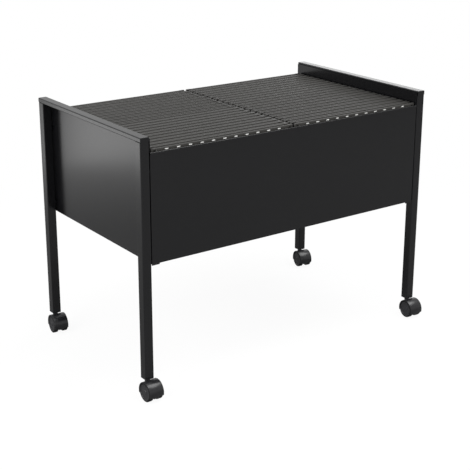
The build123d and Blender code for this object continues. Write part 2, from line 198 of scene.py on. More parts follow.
# %% [markdown]
# ## Moulded plastic
# These pieces are injection moulded: polyamide for the wheels, a glossier ABS for the hoods,
# polyethylene for the plugs and washers, polypropylene for the hook ends of the files, and a
# duller, coarser rubber for the treads. A mould leaves a fine spark-eroded grain, about 0.3 mm,
# and tiny changes of gloss. The grain is drawn at 0.8 mm so that it shows at all from near.

# %% Moulded plastic
MOULD_SPREAD = 0.05          # change of roughness over the grain, either way


def moulded(name, tone, roughness, specular, grain_mm=0.8, depth_mm=0.02):
    """Injection moulded plastic with a fine grain in bump and roughness."""
    material, tree, shader = new_material(name)
    place = add(tree, "ShaderNodeTexCoord").outputs["Object"]
    grain = add(tree, "ShaderNodeTexNoise",
                {"Vector": place, "Scale": per_metre(grain_mm), "Detail": 2.0})
    dull = add(tree, "ShaderNodeMapRange",
               {"Value": grain.outputs["Fac"], "To Min": roughness - MOULD_SPREAD,
                "To Max": roughness + MOULD_SPREAD})
    tree.links.new(dull.outputs["Result"], shader.inputs["Roughness"])
    bump = add(tree, "ShaderNodeBump",
               {"Height": grain.outputs["Fac"], "Strength": 0.25, "Distance": depth_mm * MM})
    tree.links.new(bump.outputs["Normal"], shader.inputs["Normal"])
    shader.inputs["Base Color"].default_value = linear(tone)
    shader.inputs["Specular IOR Level"].default_value = specular
    return material


hood_plastic = moulded("moulded_abs_hood", "161618", roughness=0.30, specular=0.5)
wheel_plastic = moulded("moulded_polyamide_wheel", "2A2A2C", roughness=0.42, specular=0.4)
plug_plastic = moulded("moulded_polyethylene_black", "1C1C1E", roughness=0.5, specular=0.4)
hook_plastic = moulded("moulded_polypropylene_hook", "2A2927", roughness=0.45, specular=0.6)
tread_rubber = moulded("thermoplastic_rubber_tread", "0D0D0E", roughness=0.62, specular=0.3,
                       grain_mm=1.2, depth_mm=0.04)
for plastic in (hood_plastic, wheel_plastic, plug_plastic, hook_plastic, tread_rubber):
    print("plastic", plastic.name)

# %% [markdown]
# ## Card and paper
# A hanging file is a sheet of black dyed card with a smooth face, folded over two steel bars.
# Card is felted fibre, with flecks a millimetre or two long. Seen nearly along it, it shines like
# satin. The index strip is white card and the sheaves are copy paper, whose stacked edges show as
# fine lines.

# %% Card and paper
FIBRE_MM = 1.2
SHEET_EDGE_MM = 0.4          # drawn coarser than a sheet, so that the lines show


def fibre_card(name, tone, fleck_tone, fleck_share, bump_mm, roughness, specular):
    """Card with fibre flecks, stretched along the sheet, and a slight cockle."""
    material, tree, shader = new_material(name)
    place = add(tree, "ShaderNodeTexCoord").outputs["Object"]
    stretch = add(tree, "ShaderNodeMapping", {"Vector": place, "Scale": (0.35, 1.0, 1.0)})
    fibre = add(tree, "ShaderNodeTexNoise",
                {"Vector": stretch.outputs["Vector"], "Scale": per_metre(FIBRE_MM),
                 "Detail": 3.0, "Roughness": 0.6})
    flecks = add(tree, "ShaderNodeMapRange",
                 {"Value": fibre.outputs["Fac"], "From Min": 0.35, "From Max": 0.7,
                  "To Min": 0.0, "To Max": fleck_share})
    tones = add(tree, "ShaderNodeMix",
                {"Factor": flecks.outputs["Result"],
                 MIX_A: linear(tone), MIX_B: linear(fleck_tone)}, data_type="RGBA")
    tree.links.new(tones.outputs[MIX_OUT], shader.inputs["Base Color"])
    bump = add(tree, "ShaderNodeBump",
               {"Height": fibre.outputs["Fac"], "Strength": 0.3, "Distance": bump_mm * MM})
    tree.links.new(bump.outputs["Normal"], shader.inputs["Normal"])
    shader.inputs["Roughness"].default_value = roughness
    shader.inputs["Specular IOR Level"].default_value = specular
    return material


file_card = fibre_card("dyed_card_black", "272624", "31302D",
                       fleck_share=0.7, bump_mm=0.02, roughness=0.45, specular=0.6)
white_card = fibre_card("index_card_white", "F2F2F0", "E8E8E4",
                        fleck_share=0.5, bump_mm=0.03, roughness=0.82, specular=0.25)

paper, tree, shader = new_material("copy_paper")
place = add(tree, "ShaderNodeTexCoord").outputs["Object"]
sheets = add(tree, "ShaderNodeMapping", {"Vector": place, "Scale": (0.02, 1.0, 0.02)})
edges = add(tree, "ShaderNodeTexNoise",
            {"Vector": sheets.outputs["Vector"], "Scale": per_metre(SHEET_EDGE_MM), "Detail": 1.0})
tones = add(tree, "ShaderNodeMix",
            {"Factor": edges.outputs["Fac"], MIX_A: linear("DCDAD3"), MIX_B: linear("F4F3EE")},
            data_type="RGBA")
tree.links.new(tones.outputs[MIX_OUT], shader.inputs["Base Color"])
shader.inputs["Roughness"].default_value = 0.9
print("cards", file_card.name, white_card.name, paper.name)

# %% [markdown]
# ## Paint for the solids that stay
# Legs, rails, panels, plugs, stems, axles and washers are right as solids, so each only gets its
# material. A node's object stays where it is; its material slots are filled anew.

# %% Materials of the solids


def paint_node(node, material):
    """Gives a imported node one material."""
    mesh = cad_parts[node].data
    mesh.materials.clear()
    mesh.materials.append(material)


coated = [f"{end}_{side}_leg" for end in ENDS for side in SIDES]
coated += [f"{side}_top_rail" for side in SIDES] + [f"{side}_side_panel" for side in SIDES]
coated += [f"{end}_panel" for end in ENDS]
for node in coated:
    paint_node(node, coat)
for node in ("left_hanging_rail", "centre_hanging_rail", "right_hanging_rail"):
    paint_node(node, rail_coat)
paint_node("box_washers", plug_plastic)
for end in ENDS:
    for side in SIDES:
        paint_node(f"{end}_{side}_leg_plug", plug_plastic)
        paint_node(f"{end}_{side}_caster_stem", zinc)
        paint_node(f"{end}_{side}_caster_axle", zinc)
print("painted", len(coated), "coated nodes")

# %% [markdown]
# ## Modelling helpers
# New pieces are made with the same operators as by hand. Everything is deselected first, then a
# primitive is added, and faces or edges are picked in code by where they are. A piece that is
# round about an axis starts as one point: the point is extruded along the outline, and the
# outline is spun. A flat piece starts the same way, and its outline is filled and given its
# thickness.

# %% Modelling helpers
SAME_PLACE = 0.005 * MM      # vertices nearer than this are one


def start_piece(name, place):
    """A new piece in edit mode that is one selected point."""
    bpy.ops.object.select_all(action="DESELECT")
    bpy.ops.mesh.primitive_plane_add(size=MM, location=place)
    piece = bpy.context.object
    piece.name = piece.data.name = name
    bpy.ops.object.mode_set(mode="EDIT")
    bpy.ops.mesh.select_mode(type="VERT")
    bpy.ops.mesh.select_all(action="SELECT")
    bpy.ops.mesh.merge(type="CENTER")
    return piece


def draw_on(points):
    """Extrudes the selected point along a list of places, the first of which it is at."""
    for here, there in zip(points, points[1:]):
        step = [b - a for a, b in zip(here, there)]
        bpy.ops.mesh.extrude_vertices_move(TRANSFORM_OT_translate={"value": step})


def middle_of(element):
    """Middle of a vertex, an edge or a face."""
    if isinstance(element, bmesh.types.BMVert):
        return element.co
    if isinstance(element, bmesh.types.BMEdge):
        return (element.verts[0].co + element.verts[1].co) / 2
    return element.calc_center_median()


def pick(piece, kind, test):
    """Selects the vertices, edges or faces whose middle passes the test."""
    mesh = bmesh.from_edit_mesh(piece.data)
    for geometry in (mesh.verts, mesh.edges, mesh.faces):
        for element in geometry:
            element.select_set(False)
    bpy.ops.mesh.select_mode(type={"verts": "VERT", "edges": "EDGE", "faces": "FACE"}[kind])
    count = 0
    for element in getattr(mesh, kind):
        if test(piece.matrix_world @ middle_of(element), element):
            element.select_set(True)
            count += 1
    mesh.select_flush_mode()
    bmesh.update_edit_mesh(piece.data)
    return count


def clean_up():
    """Merges doubles and points the faces outwards, on the piece in edit mode."""
    bpy.ops.mesh.select_mode(type="VERT")
    bpy.ops.mesh.select_all(action="SELECT")
    bpy.ops.mesh.remove_doubles(threshold=SAME_PLACE)
    bpy.ops.mesh.normals_make_consistent(inside=False)


def fill_outline():
    """Closes the outline that is being drawn with one flat face."""
    bpy.ops.mesh.select_all(action="SELECT")
    bpy.ops.mesh.edge_face_add()


def apply_modifier(piece, kind, **settings):
    """Adds a modifier with its settings and applies it."""
    bpy.context.view_layer.objects.active = piece
    modifier = piece.modifiers.new(kind.lower(), kind)
    for key, value in settings.items():
        setattr(modifier, key, value)
    bpy.ops.object.modifier_apply(modifier=modifier.name)


def finish_piece(piece, material, angle=35):
    """Leaves edit mode, puts the place into the mesh, smooths it and gives it a material."""
    if bpy.context.mode != "OBJECT":
        bpy.ops.object.mode_set(mode="OBJECT")
    bpy.ops.object.select_all(action="DESELECT")
    piece.select_set(True)
    bpy.context.view_layer.objects.active = piece
    bpy.ops.object.transform_apply(location=True, rotation=True, scale=True)
    bpy.ops.object.shade_smooth_by_angle(angle=math.radians(angle))
    if not piece.data.materials:
        piece.data.materials.append(material)
    return piece


def spin_round(centre, axis, steps, angle=2 * math.pi):
    """Turns the whole outline round an axis and merges what meets."""
    bpy.ops.mesh.select_all(action="SELECT")
    bpy.ops.mesh.spin(steps=steps, angle=angle, center=centre, axis=axis)
    clean_up()


def placed_copy(source, name, matrix):
    """A copy with its own mesh, moved and turned in the mesh; the object stays at the origin."""
    copy = source.copy()
    copy.data = source.data.copy()
    copy.name = copy.data.name = name
    copy.data.transform(matrix)
    bpy.context.collection.objects.link(copy)
    return copy


def joined(pieces, name):
    """Several pieces as one object."""
    bpy.ops.object.select_all(action="DESELECT")
    for piece in pieces:
        piece.select_set(True)
    bpy.context.view_layer.objects.active = pieces[0]
    if len(pieces) > 1:
        bpy.ops.object.join()
    pieces[0].name = pieces[0].data.name = name
    return pieces[0]


def drop(piece):
    """Removes a piece that was only a pattern for copies."""
    bpy.data.objects.remove(piece, do_unlink=True)


print("modelling helpers ready, doubles merge within", SAME_PLACE / MM, "mm")

# %% [markdown]
# ## Caster wheels
# Each caster has two wheels, 40 mm across: a polyamide disc with a softer tread round it. The
# outer face is dished and has a hub cap, the inner face has a hub round the blind bore. The
# outline is drawn once, from the bottom of the bore round to the middle of the hub cap, and spun.
# A narrow groove parts the tread from the disc.

# %% Caster wheels
WHEEL_R = 20.0
WHEEL_IN = 6.3               # inner and outer face, from the caster's middle
WHEEL_OUT = 16.5
BORE_R = 2.05
BORE_END = 13.75
TREAD_FROM = 17.2            # radius past which the faces are tread
WHEEL_STEPS = 72
ALONG_X = (1, 0, 0)
ALONG_Z = (0, 0, 1)

# along the axle from the caster's middle, and from the axle outwards, in millimetres
wheel_outline = [
    # bore, hub and inner face
    (BORE_END, 0.0), (BORE_END, BORE_R), (WHEEL_IN, BORE_R), (WHEEL_IN, 4.6),
    (7.6, 5.2), (7.6, 14.6), (WHEEL_IN, 15.4), (WHEEL_IN, 18.5),
    # tread, and the groove beside it
    (6.5, 19.3), (7.0, 19.8), (7.7, WHEEL_R), (15.1, WHEEL_R),
    (15.8, 19.7), (16.2, 19.2), (16.3, 18.6), (16.3, 18.0), (15.5, 17.7), (15.5, 17.1),
    # rim, dish and hub cap of the outer face
    (16.4, 16.9), (WHEEL_OUT, 16.5), (16.4, 16.1), (15.4, 15.2), (15.3, 14.6),
    (15.3, 6.2), (15.5, 5.4), (16.2, 4.9), (16.4, 4.4), (16.4, 2.2), (16.2, 1.9), (16.2, 0.0),
]
outline = [(x * MM, 0.0, r * MM) for x, r in wheel_outline]
wheel_pattern = start_piece("wheel_pattern", outline[0])
draw_on(outline)
spin_round((0, 0, 0), ALONG_X, WHEEL_STEPS)
finish_piece(wheel_pattern, wheel_plastic)
wheel_pattern.data.materials.append(tread_rubber)
for face in wheel_pattern.data.polygons:
    face.material_index = int(math.hypot(face.center.y, face.center.z) > TREAD_FROM * MM)
print("wheel", len(wheel_pattern.data.polygons), "faces")

# %% [markdown]
# ## Caster hoods
# The hood is one moulding: a shell over both wheels and a web between them that holds axle and
# stem. The shell is a band of a cylinder, so its section is drawn across the caster, with rounded
# edges, and spun through the angle that it covers.

# %% Shell of the hood
HOOD_IN = 20.6               # radius inside and outside, about the axle
HOOD_OUT = 22.2
HOOD_FRONT_DOWN = 16.0       # how far the shell goes below the axle's height, in degrees
HOOD_REAR_DOWN = 20.0
HOOD_STEPS = 48
TRAIL = 14.6                 # axle, from the stem
ROUND = 0.55                 # the shell's edges, and where such a round crosses 45 degrees
ROUND_CUT = 0.16

axle_place = Vector((0.0, -TRAIL * MM, WHEEL_R * MM))
across = [
    (-WHEEL_OUT, HOOD_IN), (-WHEEL_OUT, HOOD_OUT - ROUND),
    (-WHEEL_OUT + ROUND_CUT, HOOD_OUT - ROUND_CUT), (-WHEEL_OUT + ROUND, HOOD_OUT),
    (WHEEL_OUT - ROUND, HOOD_OUT), (WHEEL_OUT - ROUND_CUT, HOOD_OUT - ROUND_CUT),
    (WHEEL_OUT, HOOD_OUT - ROUND), (WHEEL_OUT, HOOD_IN),
]
front_angle = math.radians(180 + HOOD_FRONT_DOWN)
way = Vector((0.0, math.cos(front_angle), math.sin(front_angle)))
outline = [tuple(axle_place + way * r * MM + Vector((x * MM, 0, 0))) for x, r in across]
shell = start_piece("hood_shell", outline[0])
draw_on(outline)
fill_outline()
cover = math.radians(180 + HOOD_FRONT_DOWN + HOOD_REAR_DOWN)
spin_round(axle_place, ALONG_X, HOOD_STEPS, cover)
finish_piece(shell, hood_plastic)
top = max(vertex.co.z for vertex in shell.data.vertices)
print("shell", [round(size / MM, 1) for size in shell.dimensions], "top at", round(top / MM, 1))

# %% [markdown]
# The web between the wheels is a disc with its foot cut off level, and the axle's bore goes
# through it. Its section is a closed ring of edges without a face, so that nothing is left inside
# after the spin. The collar is a sleeve spun about the stem, with a rounded top edge.

# %% Web and collar of the hood
WEB_HALF = 5.9
WEB_R = 21.4
WEB_BORE = 2.01
WEB_FOOT = 10.0              # height of the level cut
WEB_STEPS = 64
COLLAR_R = 5.6
COLLAR_FOOT = 26.7
COLLAR_TOP = 40.0
COLLAR_STEPS = 40
STEM_BORE = 4.05

ring = [(-WEB_HALF, WEB_BORE), (-WEB_HALF, WEB_R), (WEB_HALF, WEB_R), (WEB_HALF, WEB_BORE)]
outline = [tuple(axle_place + Vector((x * MM, 0, r * MM))) for x, r in ring]
web = start_piece("hood_web", outline[0])
draw_on(outline)
fill_outline()
bpy.ops.mesh.delete(type="ONLY_FACE")
spin_round(axle_place, ALONG_X, WEB_STEPS)
bpy.ops.mesh.select_all(action="SELECT")
bpy.ops.mesh.bisect(plane_co=(0, 0, WEB_FOOT * MM), plane_no=(0, 0, -1),
                    use_fill=True, clear_outer=True)
clean_up()
bpy.ops.object.mode_set(mode="OBJECT")

collar_outline = [
    (STEM_BORE, COLLAR_FOOT), (COLLAR_R, COLLAR_FOOT), (COLLAR_R, COLLAR_TOP - 0.5),
    (COLLAR_R - 0.15, COLLAR_TOP - 0.15), (COLLAR_R - 0.5, COLLAR_TOP), (STEM_BORE, COLLAR_TOP),
]
outline = [(r * MM, 0.0, z * MM) for r, z in collar_outline + collar_outline[:1]]
collar = start_piece("hood_collar", outline[0])
draw_on(outline)
spin_round((0, 0, 0), ALONG_Z, COLLAR_STEPS)
bpy.ops.object.mode_set(mode="OBJECT")
for piece in (web, collar):
    finish_piece(piece, hood_plastic)
hood_pattern = joined([shell, web, collar], "hood_pattern")
print("hood", len(hood_pattern.data.polygons), "faces")

# %% [markdown]
# The four casters are copies of these two patterns. Each stands under its leg, turned about its
# stem by its own angle, as casters do after a push. A wheel's outer face looks away from the web,
# so one wheel of each pair is turned round.

# %% Casters in their places
for end, end_way in ENDS.items():
    for side, side_way in SIDES.items():
        corner = f"{end}_{side}"
        stand = Matrix.Translation((side_way * LEG_X, end_way * LEG_Y, 0))
        stand = stand @ Matrix.Rotation(math.radians(SWIVEL_REST[corner]), 4, "Z")
        hood = placed_copy(hood_pattern, f"{corner}_hood", stand)
        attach(hood, f"caster_{corner}")
        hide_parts(f"{corner}_caster_hood")
        to_axle = stand @ Matrix.Translation(axle_place)
        for which, way in (("outer", side_way), ("inner", -side_way)):
            turn = Matrix.Identity(4) if way > 0 else Matrix.Rotation(math.pi, 4, "Z")
            wheel = placed_copy(wheel_pattern, f"{corner}_{which}_roller", to_axle @ turn)
            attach(wheel, f"wheel_{corner}_{which}")
            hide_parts(f"{corner}_{which}_wheel")
drop(hood_pattern)
drop(wheel_pattern)
print("casters placed")

# %% [markdown]
# ## Card pockets
# A hanging file is one strip of card: it folds over the front bar, runs down as the front leaf,
# across the base, up as the rear leaf and over the rear bar. The strip's section is drawn as a
# line and extruded along the bar. Only the front file of a row has slots: its card is cut across
# at each slot and the faces between the cuts go. Solidify then gives the card its thickness.

# %% One pocket
POCKET_WIDTH = 320.0
POCKET_TOP = 524.1
POCKET_BOTTOM = 294.1
BAR_SPREAD = 13.0            # between the middles of the two sleeves
SLEEVE_OUT = 1.8             # middle of the card, from the sleeve's middle
SLEEVE_BOTTOM = 515.0
BASE_HALF = 2.9
SLOT_COUNT = 11
SLOT_PITCH = 27.5
SLOT_WIDTH = 8.0
SLOT_TOP = POCKET_TOP - 3.0
SLOT_LOW = SLOT_TOP - 2.4
BULGE_CUTS = 11              # cuts across a plain pocket, so that it can bulge
CARD = 0.6                   # thickness of the card in the solid
CARD_SHARE = 0.9             # share of it that is drawn, so that neighbours stay apart
half_spread = BAR_SPREAD / 2
inside = half_spread - SLEEVE_OUT
outside = half_spread + SLEEVE_OUT
crown = POCKET_TOP - CARD / 2

half_section = [
    # the end of the card, tucked under the bar, and up and over it
    (half_spread + 0.5, SLEEVE_BOTTOM + 0.3), (inside + 0.2, SLEEVE_BOTTOM + 0.6),
    (inside, SLEEVE_BOTTOM + 1.4), (inside, crown - 0.8), (inside + 0.4, crown - 0.2),
    (half_spread, crown), (outside - 0.4, crown - 0.2), (outside, crown - 0.9),
    # down the leaf to the base
    (outside, SLOT_TOP), (outside, SLOT_LOW), (outside, SLEEVE_BOTTOM),
    (outside - 0.6, 480.0), (outside - 1.3, 440.0), (outside - 1.9, 400.0),
    (outside - 2.7, 350.0), (outside - 3.3, 315.0),
    (BASE_HALF + 0.2, 300.0), (BASE_HALF - 0.5, POCKET_BOTTOM + CARD / 2),
]
section = [(-y, z) for y, z in half_section] + [(y, z) for y, z in reversed(half_section)]
start = -POCKET_WIDTH / 2
outline = [(start * MM, y * MM, z * MM) for y, z in section]
slot_middles = [(i - (SLOT_COUNT - 1) / 2) * SLOT_PITCH for i in range(SLOT_COUNT)]
slot_cuts = [middle + way * SLOT_WIDTH / 2 for middle in slot_middles for way in (-1, 1)]
bulge_cuts = [(i - BULGE_CUTS // 2) * POCKET_WIDTH / (BULGE_CUTS + 1) for i in range(BULGE_CUTS)]


def is_slot(place, face):
    """True for a face of the front sleeve that a slot takes out."""
    x, y, z = (value / MM for value in place)
    near = any(abs(x - middle) < SLOT_WIDTH / 2 for middle in slot_middles)
    return near and y < -outside + 0.2 and SLOT_LOW < z < SLOT_TOP


def pocket(name, cuts, slotted):
    """One pocket at the middle of a row, cut across at some places, with or without slots."""
    card = start_piece(name, outline[0])
    draw_on(outline)
    bpy.ops.mesh.select_all(action="SELECT")
    bpy.ops.mesh.extrude_region_move(TRANSFORM_OT_translate={"value": (POCKET_WIDTH * MM, 0, 0)})
    clean_up()
    for cut in cuts:
        bpy.ops.mesh.select_all(action="SELECT")
        bpy.ops.mesh.bisect(plane_co=(cut * MM, 0, 0), plane_no=(1, 0, 0))
    if slotted:
        print("slots", pick(card, "faces", is_slot))
        bpy.ops.mesh.delete(type="FACE")
        clean_up()
    bpy.ops.object.mode_set(mode="OBJECT")
    apply_modifier(card, "SOLIDIFY", thickness=CARD * MM * CARD_SHARE, offset=0.0)
    print(name, len(card.data.polygons), "faces")
    return finish_piece(card, file_card)


slotted_pattern = pocket("slotted_pattern", slot_cuts, True)
pocket_pattern = pocket("pocket_pattern", bulge_cuts, False)

# %% [markdown]
# Card that holds paper never hangs flat. Each copy gets its own swell, most at mid height and at
# the middle of its width, and a slight lean. The front file is empty, so it stays nearly flat.
# The draws are seeded, so that every run gives the same row.

# %% Pockets in their rows
LEAF_TOP = SLEEVE_BOTTOM - 3.0     # below this a leaf may swell
FULL_SWELL = 0.9
EMPTY_SWELL = 0.15
MOST_LEAN = 0.15
random.seed(7)


def bulged(source, name, row, index, swell):
    """A pocket in its place, whose leaves swell by up to so many millimetres at mid height."""
    hung = placed_copy(source, name, Matrix.Identity(4))
    wide = [random.uniform(-swell, swell) for _ in range(4)]
    lean = random.uniform(-MOST_LEAN, MOST_LEAN)
    for vertex in hung.data.vertices:
        x, y, z = (value / MM for value in vertex.co)
        if z > LEAF_TOP:
            continue
        depth = (LEAF_TOP - z) / (LEAF_TOP - POCKET_BOTTOM)
        rise = math.sin(math.pi * depth) * (1 - 0.6 * (2 * x / POCKET_WIDTH) ** 2)
        if y > 0:
            ripple = wide[0] + wide[1] * math.sin(x / 70.0)
        else:
            ripple = wide[2] + wide[3] * math.sin(x / 60.0)
        vertex.co.y += (rise * (ripple + math.copysign(0.5 * swell, y)) + lean * depth) * MM
    hung.data.transform(Matrix.Translation((SIDES[row] * ROW_X, file_y(row, index), 0)))
    return hung


for side in SIDES:
    front = bulged(slotted_pattern, f"{side}_front_file_card", side, 0, EMPTY_SWELL)
    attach(front, f"front_file_{side}")
    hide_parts(f"{side}_front_pocket")
    for group, indices in GROUPS.items():
        name = f"{side}_{group}_file_cards"
        cards = joined([bulged(pocket_pattern, f"{name}_{i}", side, i, FULL_SWELL)
                        for i in indices], name)
        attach(cards, f"{group}_files_{side}")
        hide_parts(f"{side}_{group}_pockets")
drop(slotted_pattern)
drop(pocket_pattern)
print("pockets hung")

# %% [markdown]
# ## File bars
# Each bar is a flat steel strip 8 mm high and 2.4 mm thick, with a moulded hook end on both ends.
# A hook end is as thick as the sleeve beside it, and its notch drops over the lip of a rail.
# Strip and hook end are drawn as flat outlines, filled and given their thickness. Their long
# edges are eased, since a strip is rolled and a moulding leaves its form with small rounds.

# %% One pair of bars
BAR_TOP = 523.3
BAR_HEIGHT = 8.0
BAR_THICK = 2.4
BAR_HALF = 172.5             # end of a hook end, from the file's middle
BAR_Y = 6.25                 # a strip lies just inside the middle of its sleeve
HOOK = 165.0                 # middle of a notch, from the file's middle
HOOK_THICK = 4.2
NOTCH_HALF = 1.5
NOTCH_TOP = 520.1
PRONG = 3.0
PRONG_TIP = 508.0
EASED = 0.25                 # bevel of the long edges
notch_near = HOOK - NOTCH_HALF
notch_far = HOOK + NOTCH_HALF
hook_start = notch_near - PRONG
strip_end = hook_start + 1

strip = [
    (-strip_end, BAR_TOP - BAR_HEIGHT), (-strip_end, BAR_TOP),
    (strip_end, BAR_TOP), (strip_end, BAR_TOP - BAR_HEIGHT),
]
hook_end = [
    # near prong
    (hook_start, POCKET_TOP), (hook_start, PRONG_TIP + 1.2), (hook_start + 1.2, PRONG_TIP),
    (notch_near - 0.8, PRONG_TIP), (notch_near, PRONG_TIP + 0.8),
    # notch
    (notch_near, NOTCH_TOP - 0.5), (notch_near + 0.5, NOTCH_TOP),
    (notch_far - 0.5, NOTCH_TOP), (notch_far, NOTCH_TOP - 0.5),
    # far prong and the end
    (notch_far, PRONG_TIP + 0.8), (notch_far + 0.8, PRONG_TIP), (BAR_HALF - 2.0, PRONG_TIP),
    (BAR_HALF - 0.6, PRONG_TIP + 0.6), (BAR_HALF, PRONG_TIP + 2.0),
    (BAR_HALF, POCKET_TOP - 0.9), (BAR_HALF - 0.9, POCKET_TOP),
]


def plate(name, points, y, thick, material):
    """A flat piece from its outline in X and Z, with its long edges eased, in millimetres."""
    outline = [(x * MM, (y - thick / 2) * MM, z * MM) for x, z in points]
    piece = start_piece(name, outline[0])
    draw_on(outline)
    fill_outline()
    bpy.ops.mesh.extrude_region_move(TRANSFORM_OT_translate={"value": (0, thick * MM, 0)})
    clean_up()
    # the edges round both faces, not those across the thickness
    pick(piece, "edges", lambda place, e: abs(e.verts[0].co.y - e.verts[1].co.y) < 0.1 * MM)
    bpy.ops.mesh.bevel(offset=EASED * MM, segments=1, affect="EDGES")
    bpy.ops.object.mode_set(mode="OBJECT")
    return finish_piece(piece, material, angle=50)


bars = []
for face, near in ((-1, "front"), (1, "rear")):
    bars.append(plate(f"{near}_strip", strip, face * BAR_Y, BAR_THICK, bar_paint))
    for way in (-1, 1):
        points = [(way * x, z) for x, z in hook_end]
        bars.append(plate(f"{near}_hook_end", points, face * half_spread, HOOK_THICK, hook_plastic))
bar_pattern = joined(bars, "bar_pattern")
print("bars", len(bar_pattern.data.polygons), "faces")

# %% [markdown]
# Every file gets its own copy of the pair. The front file's pair is a piece by itself, because
# that file lifts off alone, and the others are joined by group.

# %% Bars in their rows
for side, side_way in SIDES.items():
    spans = {"front": range(0, 1), **GROUPS}
    for span, indices in spans.items():
        name = f"{side}_{span}_file_bars"
        places = [Matrix.Translation((side_way * ROW_X, file_y(side, i), 0)) for i in indices]
        steel = joined([placed_copy(bar_pattern, f"{name}_{n}", place)
                        for n, place in enumerate(places)], name)
        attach(steel, f"front_file_{side}" if span == "front" else f"{span}_files_{side}")
        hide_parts(f"{side}_{span}_bars")
drop(bar_pattern)
print("bars hung")

# %% [markdown]
# ## Paper in the files
# Each grouped file holds a few leaves of copy paper. A sheaf is drawn as separate thin leaves
# with ragged tops, because a solid block would look like wood.

# %% Sheaves
PAPER_WIDTH = 297.0
PAPER_HEIGHT = 210.0
PAPER_LOW = 294.7
LEAVES = 7
SHEAF_THICK = 3.2
LEAF_THICK = 0.3             # drawn thicker than one sheet, so that it shows
MARGIN = 1.0                 # a leaf stays this far inside the sheaf at either end

random.seed(11)
for side, side_way in SIDES.items():
    for group, indices in GROUPS.items():
        name = f"{side}_{group}_sheaves"
        leaves = []
        for index in indices:
            for leaf in range(LEAVES):
                y = (leaf + 0.5) / LEAVES * SHEAF_THICK - SHEAF_THICK / 2
                short = random.uniform(0.0, 2.5)
                shift = random.uniform(-0.8, 0.8)
                x0 = side_way * ROW_X + (shift - PAPER_WIDTH / 2 + MARGIN) * MM
                y0 = file_y(side, index) + y * MM
                z0 = PAPER_LOW * MM
                x1 = x0 + (PAPER_WIDTH - 2 * MARGIN) * MM
                z1 = z0 + (PAPER_HEIGHT - short) * MM
                sheet = start_piece(f"{name}_leaf", (x0, y0, z0))
                draw_on([(x0, y0, z0), (x1, y0, z0), (x1, y0, z1), (x0, y0, z1)])
                fill_outline()
                bpy.ops.mesh.extrude_region_move(
                    TRANSFORM_OT_translate={"value": (0, LEAF_THICK * MM, 0)})
                clean_up()
                bpy.ops.object.mode_set(mode="OBJECT")
                leaves.append(finish_piece(sheet, paper))
        sheaf = joined(leaves, name)
        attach(sheaf, f"{group}_files_{side}")
        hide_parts(f"{side}_{group}_papers")
print("sheaves", len(SIDES) * len(GROUPS))

# %% [markdown]
# ## Index strips
# Behind the slots of the front file sits a strip of white card. It is the same size as its solid,
# which is flat and square as card is, so the solid stays and gets the card's material.

# %% Index strips
for side in SIDES:
    paint_node(f"{side}_index_strip", white_card)
print("index strips", len(SIDES))

# %% [markdown]
# ## Screws
# Eight pan head screws hold the box between the legs. Head, socket and shank are one outline spun
# about the screw. The round socket is then made a hexagon: each of its vertices moves inwards on
# to the nearest of six flats.

# %% Screws
SIDE_INNER = 352.0           # inner face of a side panel
SHANK_END = 361.0            # in the leg
HEAD_R = 4.5
HEAD_HEIGHT = 2.6
SHANK_R = 2.5
SOCKET_R = 1.7
SOCKET_REACH = 1.75          # inside this radius a vertex of the head is in the socket
SCREW_LEVELS = (310.0, 480.0)
SCREW_STEPS = 24
shank = SHANK_END - SIDE_INNER

screw_outline = [
    # shank
    (shank, 0.0), (shank, SHANK_R - 0.5), (shank - 0.5, SHANK_R), (0.0, SHANK_R),
    # head
    (0.0, HEAD_R), (-0.8, HEAD_R), (-1.5, HEAD_R - 0.25), (-2.1, HEAD_R - 0.8),
    (-2.5, HEAD_R - 1.6), (-HEAD_HEIGHT, HEAD_R - 2.4),
    # socket
    (-HEAD_HEIGHT, SOCKET_R), (-HEAD_HEIGHT + 1.5, SOCKET_R * 0.9), (-HEAD_HEIGHT + 1.7, 0.0),
]
outline = [(x * MM, 0.0, r * MM) for x, r in screw_outline]
screw_pattern = start_piece("screw_pattern", outline[0])
draw_on(outline)
spin_round((0, 0, 0), ALONG_X, SCREW_STEPS)
pick(screw_pattern, "verts",
     lambda place, v: math.hypot(place.y, place.z) < SOCKET_REACH * MM and place.x < 0)
bpy.ops.object.mode_set(mode="OBJECT")
for vertex in screw_pattern.data.vertices:
    radius = math.hypot(vertex.co.y, vertex.co.z)
    if vertex.select and radius > 0.5 * MM:
        turn = math.atan2(vertex.co.z, vertex.co.y) % (math.pi / 3) - math.pi / 6
        flat = math.cos(math.pi / 6) / math.cos(turn)
        vertex.co.y *= flat
        vertex.co.z *= flat
finish_piece(screw_pattern, zinc)

screws = []
for side_way in SIDES.values():
    for end_way in ENDS.values():
        for level in SCREW_LEVELS:
            place = Matrix.Translation((side_way * SIDE_INNER * MM, end_way * LEG_Y, level * MM))
            turn = Matrix.Identity(4) if side_way > 0 else Matrix.Rotation(math.pi, 4, "Z")
            screws.append(placed_copy(screw_pattern, "box_screw", place @ turn))
heads = joined(screws, "box_screw_set")
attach(heads, "frame")
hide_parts("box_screws")
drop(screw_pattern)
print("screws", len(SIDES) * len(ENDS) * len(SCREW_LEVELS))

# %% [markdown]
# ## Floor and sky
# The trolley stands on a plain white floor under a pale sky. The camera sees both as white, and
# only the shadow stays on the floor. For the light that falls on the trolley the floor and the
# sky are dimmer, so that the lamps give the forms their shade and a colour comes out about as it
# is written.

# %% Floor
FLOOR_SEEN = 0.98            # tone of the floor in the camera's view
FLOOR_TONE = 0.45            # the floor as the light that falls on the trolley sees it
FLOOR_PAINTED_DIM_REFLECTION = 0.20        # painted reflection: the floor close by, painted dim where the lacquer mirrors it
WHITE_NEAR = 0.93            # share of plain white near the trolley, the rest keeps the shadow
SHADOW_NEAR, SHADOW_FAR = 0.4, 1.3    # metres between which that share grows to all white

